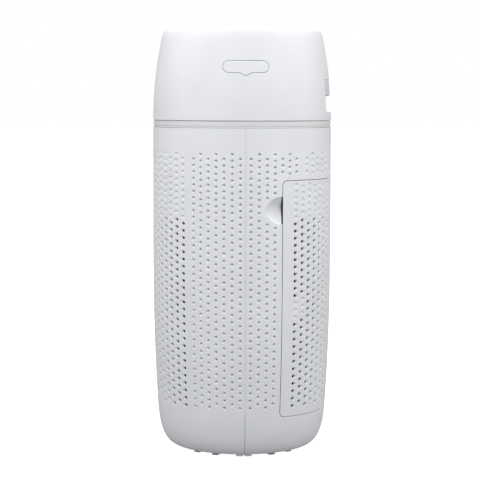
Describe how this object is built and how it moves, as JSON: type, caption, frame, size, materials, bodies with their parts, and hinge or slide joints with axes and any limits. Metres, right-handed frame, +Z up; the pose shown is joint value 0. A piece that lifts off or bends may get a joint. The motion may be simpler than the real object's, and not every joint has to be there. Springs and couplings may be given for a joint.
{
  "type": "tower air purifier",
  "caption": "Round white tower air purifier with perforated walls, a side filter door, a pull-out aroma tray, a rear hand grip and a fan under a top grille.",
  "frame": {"origin": "centre of the footprint, on the plane the feet stand on", "axes": "+Z up; -Y is the front, +Y the back with the hand grip and power socket; +X the side with the aroma tray and the filter door"},
  "size_m": [0.23, 0.23, 0.5405],
  "materials": {
    "shell": "semi-matt white",
    "door": "semi-matt white",
    "ring": "satin grey",
    "tray": "semi-matt white",
    "cup": "matt white",
    "grip": "matt light grey",
    "grille": "matt light grey",
    "panel": "gloss black",
    "button": "satin black",
    "lens": "smoked",
    "board": "green solder mask",
    "chassis": "matt grey",
    "fan": "matt black",
    "motor": "zinc",
    "steel": "bright",
    "magnet": "nickel plate",
    "switch": "matt black",
    "socket": "matt black",
    "base": "matt light grey",
    "rubber": "matt grey",
    "cap": "matt white",
    "media": "pleated paper",
    "sleeve": "fine mesh",
    "carbon": "carbon felt",
    "foam": "open foam",
    "ribbon": "woven tape",
    "pad": "felt"
  },
  "bodies": {
    "housing": {"accent_ring": "ring", "air_duct": "chassis", "base_pan": "base", "base_screw_1": "steel", "base_screw_2": "steel", "base_screw_3": "steel", "base_screw_4": "steel", "carbon_core": "carbon", "control_board": "board", "control_panel": "panel", "display_lens": "lens", "fan_deck": "chassis", "fan_housing": "chassis", "fan_motor": "motor", "filter_cap_bottom": "cap", "filter_cap_top": "cap", "filter_gasket": "foam", "filter_media": "media", "filter_pull_tab": "ribbon", "filter_seat": "chassis", "foot_pad_1": "rubber", "foot_pad_2": "rubber", "foot_pad_3": "rubber", "foot_pad_4": "rubber", "foot_pad_5": "rubber", "foot_pad_6": "rubber", "foot_pad_7": "rubber", "foot_pad_8": "rubber", "front_shell": "shell", "handle_cup": "cup", "handle_grip": "grip", "head_shell": "shell", "inlet_guard": "grille", "interlock_switch": "switch", "latch_catch": "chassis", "motor_mount": "chassis", "panel_tub": "chassis", "pillar_1": "chassis", "pillar_2": "chassis", "pillar_3": "chassis", "pillar_4": "chassis", "power_board": "board", "power_inlet": "socket", "prefilter_sleeve": "sleeve", "rear_shell": "shell", "top_grille": "grille", "tray_guide": "chassis"},
    "door": {"filter_door": "door", "door_magnet": "magnet"},
    "tray": {"aroma_tray": "tray", "aroma_pad": "pad"},
    "fan": {"fan_impeller": "fan", "motor_shaft": "steel"},
    "key_1": {"button_1": "button"},
    "key_2": {"button_2": "button"},
    "key_3": {"button_3": "button"},
    "key_4": {"button_4": "button"},
    "key_5": {"button_5": "button"}
  },
  "joints": [
    {"name": "door_hinge", "type": "hinge", "parent": "housing", "child": "door", "pos_m": [0.03228, 0.11038, 0.2023], "axis": [0, 0, 1], "range_deg": [0, 105]},
    {"name": "tray_slide", "type": "slide", "parent": "housing", "child": "tray", "axis": [1, 0, 0], "range_m": [0, 0.024]},
    {"name": "fan_spin", "type": "hinge", "parent": "housing", "child": "fan", "pos_m": [0, 0, 0.385], "axis": [0, 0, 1], "continuous": true},
    {"name": "key_1_press", "type": "slide", "parent": "housing", "child": "key_1", "axis": [0, 0, -1], "range_m": [0, 0.001], "stiffness_N_per_m": 400},
    {"name": "key_2_press", "type": "slide", "parent": "housing", "child": "key_2", "axis": [0, 0, -1], "range_m": [0, 0.001], "stiffness_N_per_m": 400},
    {"name": "key_3_press", "type": "slide", "parent": "housing", "child": "key_3", "axis": [0, 0, -1], "range_m": [0, 0.001], "stiffness_N_per_m": 400},
    {"name": "key_4_press", "type": "slide", "parent": "housing", "child": "key_4", "axis": [0, 0, -1], "range_m": [0, 0.001], "stiffness_N_per_m": 400},
    {"name": "key_5_press", "type": "slide", "parent": "housing", "child": "key_5", "axis": [0, 0, -1], "range_m": [0, 0.001], "stiffness_N_per_m": 400}
  ]
}
